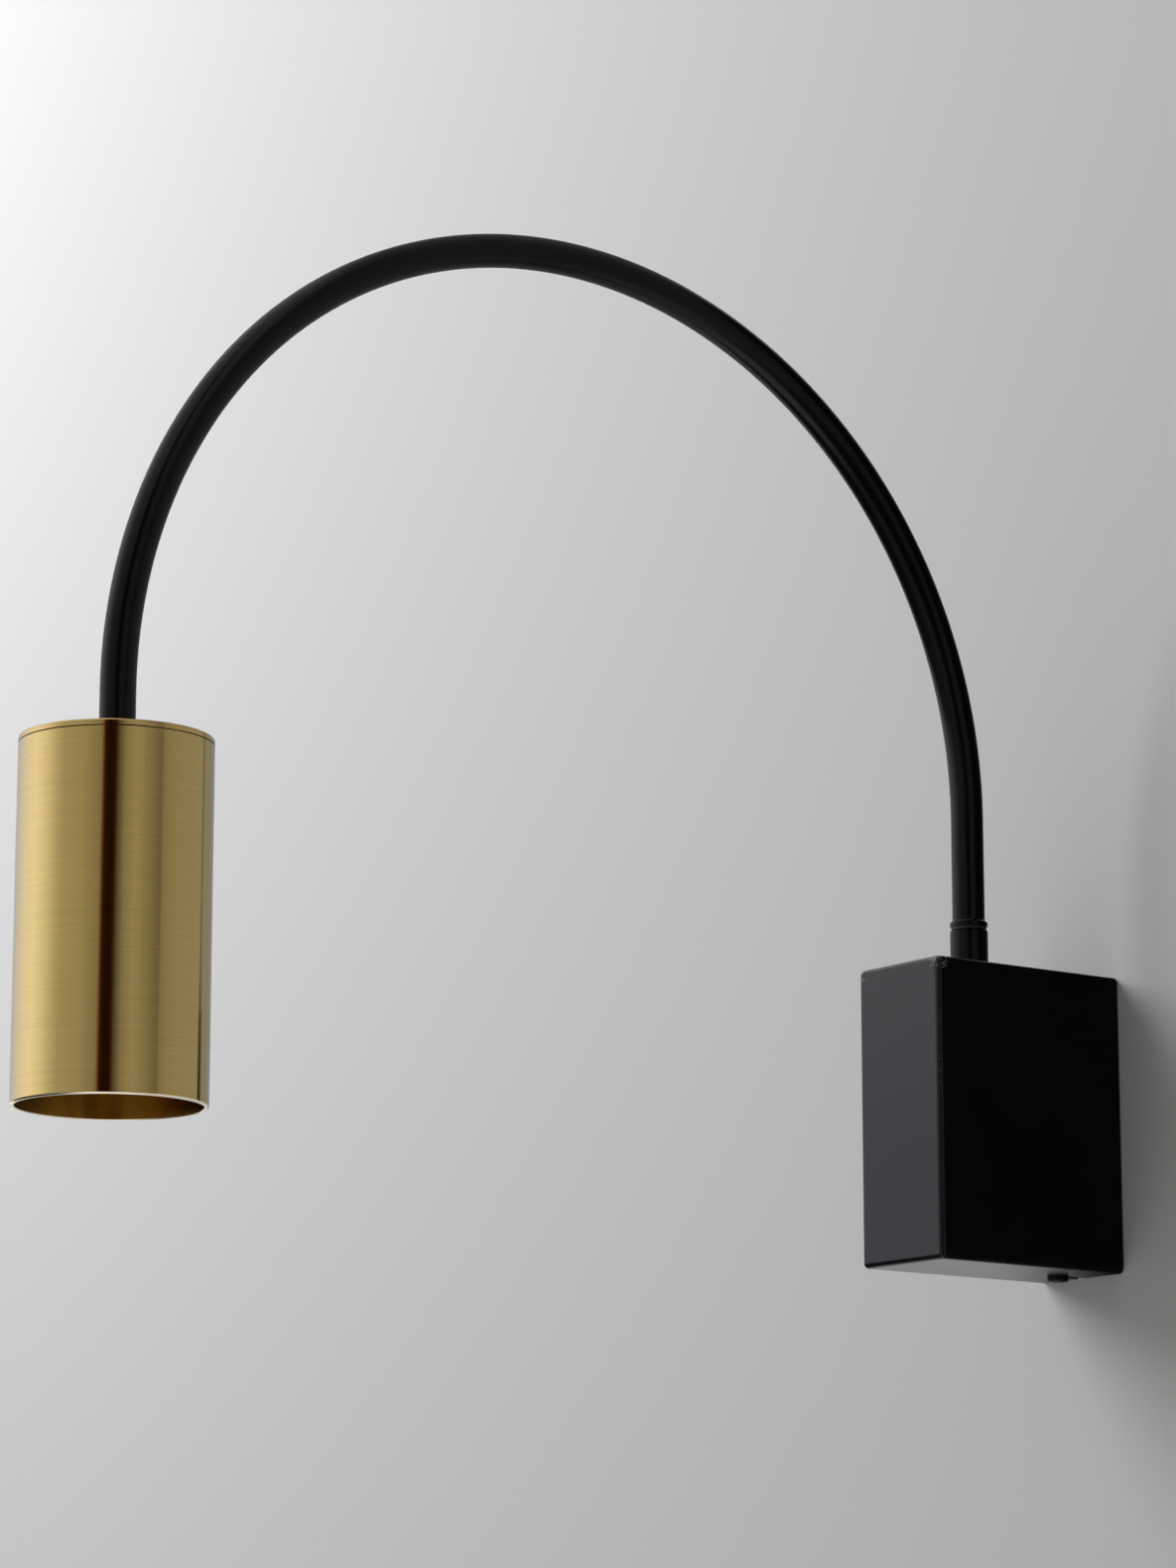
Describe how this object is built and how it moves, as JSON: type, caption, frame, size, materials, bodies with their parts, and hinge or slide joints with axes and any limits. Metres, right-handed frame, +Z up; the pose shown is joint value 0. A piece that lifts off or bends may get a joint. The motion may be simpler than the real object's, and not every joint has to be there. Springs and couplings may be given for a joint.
{
  "type": "gooseneck wall sconce",
  "caption": "Wall light: a black box on the wall carries an arched black tube that swivels and ends in a downward brass cylinder with a twist-in reflector lamp.",
  "frame": {"origin": "centre of the wall bracket's back face, on the wall", "axes": "+Z up, +Y into the wall, +X along the wall, to the right of someone who faces the wall"},
  "size_m": [0.064, 0.4495, 0.3575],
  "materials": {
    "black_coat": "fine satin powder coat",
    "brushed_brass": "brushed round the axis, lacquered",
    "zinc_steel": "zinc plated sheet",
    "screw_black": "black passivated",
    "screw_zinc": "zinc plated",
    "terminal_brass": "turned",
    "nut_brass": "machined",
    "spring_steel": "hardened, oiled",
    "bearing_nylon": "moulded",
    "terminal_nylon": "moulded",
    "grommet_rubber": "moulded",
    "cable_sheath": "extruded",
    "core_brown": "extruded",
    "core_blue": "extruded",
    "core_green": "extruded, yellow stripe",
    "ceramic": "unglazed",
    "lamp_white": "moulded",
    "lamp_frost": "frosted"
  },
  "bodies": {
    "wall_box": {"base_cover": "black_coat", "wall_bracket": "zinc_steel", "cover_screws": "screw_black", "cable_grommet": "grommet_rubber", "terminal_block": "terminal_nylon", "terminal_sleeves": "terminal_brass", "terminal_screws": "screw_zinc", "terminal_fixing": "screw_zinc", "earth_tag": "terminal_brass", "earth_screw": "terminal_brass", "top_stiffener": "zinc_steel", "stop_pin": "spring_steel", "swivel_collar": "black_coat", "collar_nut": "nut_brass", "base_cable": "cable_sheath", "base_earth_core": "core_green", "base_live_core": "core_brown", "base_neutral_core": "core_blue"},
    "arm": {"swivel_washer": "bearing_nylon", "swivel_spindle": "black_coat", "disc_spring": "spring_steel", "stop_cam": "zinc_steel", "spindle_nuts": "screw_zinc", "arm_tube": "black_coat", "arm_cable": "cable_sheath", "head_stub": "nut_brass", "shade_cap": "brushed_brass", "shade_tube": "brushed_brass", "head_washer": "screw_zinc", "head_nuts": "nut_brass", "lamp_hanger": "zinc_steel", "head_earth_tag": "terminal_brass", "head_earth_core": "core_green", "head_live_core": "core_brown", "head_neutral_core": "core_blue", "lamp_holder": "ceramic", "holder_contacts": "terminal_brass", "holder_screws": "screw_zinc"},
    "lamp": {"lamp_body": "lamp_white", "lamp_lens": "lamp_frost", "lamp_pins": "screw_zinc"}
  },
  "joints": [
    {"name": "arm_swivel", "type": "hinge", "parent": "wall_box", "child": "arm", "pos_m": [0, -0.0525, 0.0704], "axis": [0, 0, 1], "range_deg": [-90, 90]},
    {"name": "lamp_twist", "type": "hinge", "parent": "arm", "child": "lamp", "pos_m": [0, -0.4175, 0.0525], "axis": [0, 0, -1], "range_deg": [0, 22]}
  ]
}
